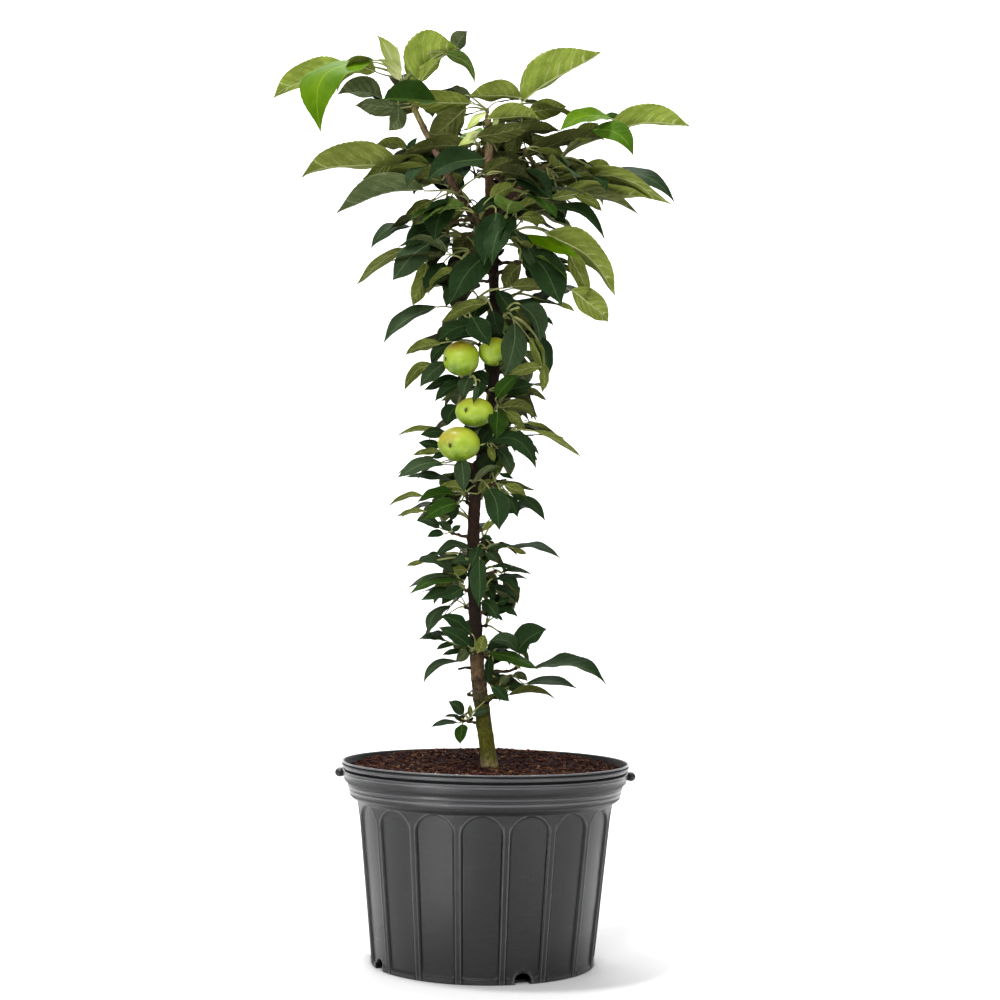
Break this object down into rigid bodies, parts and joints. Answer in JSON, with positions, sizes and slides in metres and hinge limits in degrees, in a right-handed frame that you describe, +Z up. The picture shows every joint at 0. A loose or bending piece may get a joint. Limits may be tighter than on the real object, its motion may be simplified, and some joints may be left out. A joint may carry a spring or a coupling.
{
  "type": "dwarf columnar apple tree in a nursery pot",
  "caption": "Young columnar fruit tree with a slim leaning trunk, tiers of serrated leaves and green-yellow fruit, standing in a round black fluted nursery pot of bark mix.",
  "frame": {"origin": "centre of the pot's flat underside", "axes": "+Z up along the pot's axis, -Y towards the front, +X to the right seen from the front"},
  "size_m": [0.5521, 0.37, 1.2159],
  "materials": {
    "pot_plastic": "satin moulded plastic, dark grey-black, fine grain",
    "bark_mix": "coarse damp bark and coir mix",
    "bark": "smooth young bark, olive at the foot, brown with rings and lenticels above",
    "young_bark": "downy pinkish-brown new shoots",
    "leaves_dark": "semi-gloss dark green leaves",
    "leaves_mid": "semi-gloss green leaves with paler undersides",
    "leaves_pale": "young leaves, matte pale olive undersides",
    "fruit_skin": "waxy yellow-green skin with a faint russet blush"
  },
  "bodies": {
    "root": {"pot": "pot_plastic", "soil": "bark_mix", "trunk": "bark", "bough_left": "young_bark", "bough_right": "young_bark", "bough_back": "young_bark", "foliage_top_centre": "leaves_pale", "foliage_top_far_left": "leaves_pale", "foliage_top_right": "leaves_pale", "foliage_top_far_right": "leaves_pale", "foliage_top_front": "leaves_pale", "foliage_top_back": "leaves_pale", "foliage_top_back_left": "leaves_pale", "foliage_top_back_right": "leaves_pale", "foliage_upper_left": "leaves_pale", "foliage_upper_right": "leaves_pale", "foliage_upper_front": "leaves_pale", "foliage_upper_front_left": "leaves_pale", "foliage_upper_front_right": "leaves_pale", "foliage_upper_back_left": "leaves_pale", "foliage_upper_back_right": "leaves_pale", "foliage_middle_left": "leaves_mid", "foliage_middle_right": "leaves_mid", "foliage_middle_front": "leaves_mid", "foliage_middle_back": "leaves_mid", "foliage_fruiting_left": "leaves_dark", "foliage_fruiting_right": "leaves_dark", "foliage_fruiting_back": "leaves_dark", "foliage_lower_left": "leaves_dark", "foliage_lower_right": "leaves_dark", "foliage_lower_back": "leaves_dark", "foliage_waist_left": "leaves_dark", "foliage_waist_right": "leaves_dark", "foliage_waist_back": "leaves_dark", "foliage_spur_left": "leaves_dark", "foliage_spur_right": "leaves_dark", "foliage_spur_back": "leaves_dark", "foliage_foot_left": "leaves_dark", "foliage_foot_right": "leaves_dark", "foliage_foot_back": "leaves_dark", "foliage_low_pad_left": "leaves_dark", "foliage_low_pad_right": "leaves_dark", "foliage_lowest_left": "leaves_dark"}
  },
  "joints": []
}
